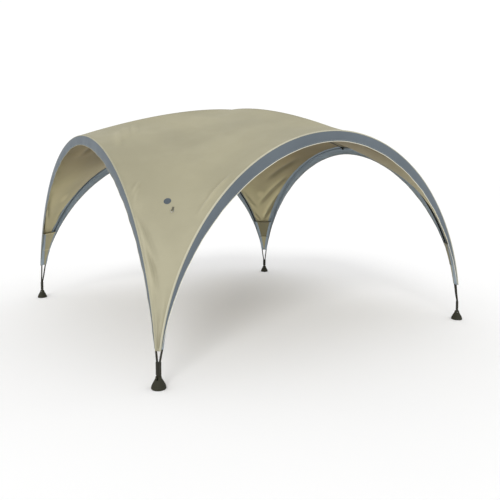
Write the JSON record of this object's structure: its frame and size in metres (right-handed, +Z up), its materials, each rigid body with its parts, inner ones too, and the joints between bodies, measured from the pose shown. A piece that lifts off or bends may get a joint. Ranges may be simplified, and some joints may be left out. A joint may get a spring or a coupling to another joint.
{
  "type": "tarp shelter",
  "caption": "Square dome tarp shelter with an open archway on each side, curved poles under a fabric roof, valance bands and flared feet that tilt.",
  "frame": {"origin": "on the ground, at the middle of the square that the four feet make", "axes": "+Z up; -Y is the front side and -X the left side, so the front left foot is at -X, -Y"},
  "size_m": [3.63, 3.63, 2.306],
  "materials": {
    "roof_fabric": "matte coated polyester, beige",
    "valance_fabric": "matte coated polyester, blue grey",
    "pocket_fabric": "matte polyester, dark beige",
    "leg_steel": "satin powder coat, olive black",
    "fibreglass": "satin wrapped fibreglass rod",
    "dark_plastic": "matte moulded",
    "foot_rubber": "matte moulded",
    "zinc_steel": "zinc plated",
    "webbing": "woven polyester webbing",
    "badge_plastic": "matte, plain disc"
  },
  "bodies": {
    "frame": {"roof_front_left": "roof_fabric", "roof_front_right": "roof_fabric", "roof_back_right": "roof_fabric", "roof_back_left": "roof_fabric", "valance_front": "valance_fabric", "valance_right": "valance_fabric", "valance_back": "valance_fabric", "valance_left": "valance_fabric", "sleeve_front": "roof_fabric", "sleeve_right": "roof_fabric", "sleeve_back": "roof_fabric", "sleeve_left": "roof_fabric", "bow_front": "fibreglass", "bow_right": "fibreglass", "bow_back": "fibreglass", "bow_left": "fibreglass", "roof_pole_front_back": "fibreglass", "roof_pole_left_right": "fibreglass", "leg_front_left": "leg_steel", "leg_front_right": "leg_steel", "leg_right_left": "leg_steel", "leg_right_right": "leg_steel", "leg_back_left": "leg_steel", "leg_back_right": "leg_steel", "leg_left_left": "leg_steel", "leg_left_right": "leg_steel", "saddle_front": "dark_plastic", "saddle_right": "dark_plastic", "saddle_back": "dark_plastic", "saddle_left": "dark_plastic", "crown_hub": "dark_plastic", "socket_front_left": "dark_plastic", "socket_front_right": "dark_plastic", "socket_back_right": "dark_plastic", "socket_back_left": "dark_plastic", "pocket_front_left": "pocket_fabric", "pocket_front_right": "pocket_fabric", "pocket_back_right": "pocket_fabric", "pocket_back_left": "pocket_fabric", "guy_loop_front_left": "webbing", "guy_loop_front_right": "webbing", "guy_loop_back_right": "webbing", "guy_loop_back_left": "webbing", "badge": "badge_plastic"},
    "foot_front_left": {"foot_front_left": "foot_rubber", "foot_pin_front_left": "zinc_steel"},
    "foot_front_right": {"foot_front_right": "foot_rubber", "foot_pin_front_right": "zinc_steel"},
    "foot_back_right": {"foot_back_right": "foot_rubber", "foot_pin_back_right": "zinc_steel"},
    "foot_back_left": {"foot_back_left": "foot_rubber", "foot_pin_back_left": "zinc_steel"},
    "guy_ring_front_left": {"guy_ring_front_left": "zinc_steel"},
    "guy_ring_front_right": {"guy_ring_front_right": "zinc_steel"},
    "guy_ring_back_right": {"guy_ring_back_right": "zinc_steel"},
    "guy_ring_back_left": {"guy_ring_back_left": "zinc_steel"}
  },
  "joints": [
    {"name": "foot_tilt_front_left", "type": "hinge", "parent": "frame", "child": "foot_front_left", "pos_m": [-1.76, -1.76, 0.08], "axis": [0.7071, -0.7071, 0], "range_deg": [-15, 15]},
    {"name": "foot_tilt_front_right", "type": "hinge", "parent": "frame", "child": "foot_front_right", "pos_m": [1.76, -1.76, 0.08], "axis": [0.7071, 0.7071, 0], "range_deg": [-15, 15]},
    {"name": "foot_tilt_back_right", "type": "hinge", "parent": "frame", "child": "foot_back_right", "pos_m": [1.76, 1.76, 0.08], "axis": [-0.7071, 0.7071, 0], "range_deg": [-15, 15]},
    {"name": "foot_tilt_back_left", "type": "hinge", "parent": "frame", "child": "foot_back_left", "pos_m": [-1.76, 1.76, 0.08], "axis": [-0.7071, -0.7071, 0], "range_deg": [-15, 15]},
    {"name": "guy_ring_swing_front_left", "type": "hinge", "parent": "frame", "child": "guy_ring_front_left", "pos_m": [-1.52122, -1.52122, 1.27527], "axis": [-0.7071, 0.7071, 0], "range_deg": [0, 150]},
    {"name": "guy_ring_swing_front_right", "type": "hinge", "parent": "frame", "child": "guy_ring_front_right", "pos_m": [1.52376, -1.52376, 1.27521], "axis": [-0.7071, -0.7071, 0], "range_deg": [0, 150]},
    {"name": "guy_ring_swing_back_right", "type": "hinge", "parent": "frame", "child": "guy_ring_back_right", "pos_m": [1.52443, 1.52443, 1.2752], "axis": [0.7071, -0.7071, 0], "range_deg": [0, 150]},
    {"name": "guy_ring_swing_back_left", "type": "hinge", "parent": "frame", "child": "guy_ring_back_left", "pos_m": [-1.52254, 1.52254, 1.27524], "axis": [0.7071, 0.7071, 0], "range_deg": [0, 150]}
  ]
}
